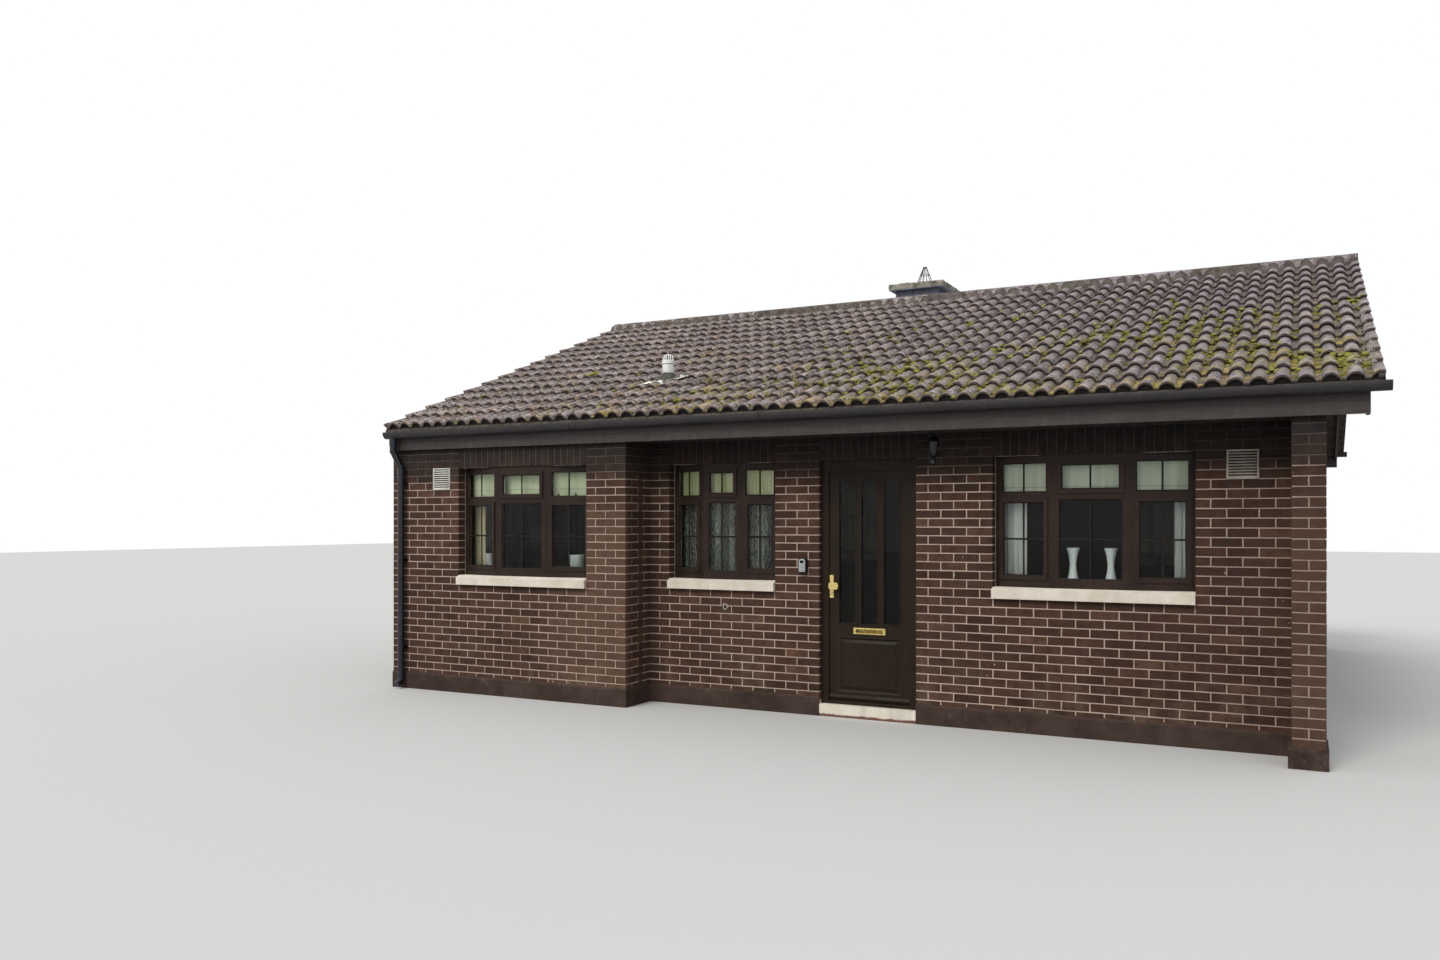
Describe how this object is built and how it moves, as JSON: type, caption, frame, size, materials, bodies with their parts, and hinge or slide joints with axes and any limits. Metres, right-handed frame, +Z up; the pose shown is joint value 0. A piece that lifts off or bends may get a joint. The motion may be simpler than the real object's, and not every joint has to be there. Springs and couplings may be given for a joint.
{
  "type": "bungalow",
  "caption": "Single-storey brown brick terraced bungalow with a low tiled roof, stepped front, casement windows, a glazed panel door and a chimney.",
  "frame": {"origin": "centre of the plan's outer box, on the ground under the walls", "axes": "+X along the front towards the open verge (right as one faces the front door), +Y from the front into the house and out at the rear, +Z up; the front faces -Y"},
  "size_m": [9.1632, 9.097, 5.0327],
  "materials": {
    "brown_brick": "dark brown fired brick with pale pinkish mortar",
    "pier_brick": "brown fired brick, a little lighter",
    "blockwork": "bare grey block",
    "plinth_render": "dark brown sand and cement render, weathered",
    "concrete": "cast concrete",
    "cast_sill": "cast concrete sill, buff",
    "plaster": "painted plasterboard",
    "concrete_tile": "weathered concrete roof tile with moss",
    "brown_board": "dark brown board",
    "gutter_brown": "dark brown moulded gutter",
    "pipe_black": "black moulded pipe",
    "guard_wire": "weathered wire",
    "vent_cowl": "moulded vent",
    "frame_brown": "dark brown stained timber",
    "window_glass": "clear sealed unit",
    "step_paint": "white masonry paint, worn",
    "door_brown": "dark brown painted panel door",
    "brass": "polished brass, aged",
    "louvre_white": "white moulded vent",
    "louvre_beige": "beige moulded vent",
    "lantern_black": "black enamel",
    "safe_silver": "silver grey enamel"
  },
  "bodies": {
    "house": {"bay_wall": "brown_brick", "return_wall": "brown_brick", "front_wall_middle": "brown_brick", "wall_over_door": "brown_brick", "front_wall_right": "brown_brick", "rear_wall": "brown_brick", "chimney_stack": "brown_brick", "right_pier": "pier_brick", "party_wall_left": "blockwork", "party_wall_right": "blockwork", "plinth": "plinth_render", "floor_slab": "concrete", "pier_base": "concrete", "chimney_cap": "concrete", "window_sills": "cast_sill", "ceiling": "plaster", "roof_front": "concrete_tile", "roof_rear": "concrete_tile", "ridge_tiles": "concrete_tile", "fascia_front": "brown_board", "soffit_front": "brown_board", "rear_eaves_boards": "brown_board", "bargeboard": "brown_board", "gutter_front": "gutter_brown", "gutter_rear": "gutter_brown", "downpipe_front": "pipe_black", "downpipe_rear": "pipe_black", "bird_guard": "guard_wire", "roof_vent": "vent_cowl", "window_frame_left": "frame_brown", "window_frame_middle": "frame_brown", "window_frame_right": "frame_brown", "rear_window_frames": "frame_brown", "door_frame": "frame_brown", "window_glass_left": "window_glass", "window_glass_middle": "window_glass", "window_glass_right": "window_glass", "rear_window_glass": "window_glass", "door_step": "step_paint", "louvre_vent_left": "louvre_white", "louvre_vent_right": "louvre_beige", "wall_lantern": "lantern_black", "key_safe": "safe_silver"},
    "door": {"front_door": "door_brown", "door_glass": "window_glass", "letterbox": "brass", "door_handle": "brass"}
  },
  "joints": [
    {"name": "front_door_hinge", "type": "hinge", "parent": "house", "child": "door", "pos_m": [0.9865, -3.806, 1.185], "axis": [0, 0, -1], "range_deg": [0, 90]}
  ]
}
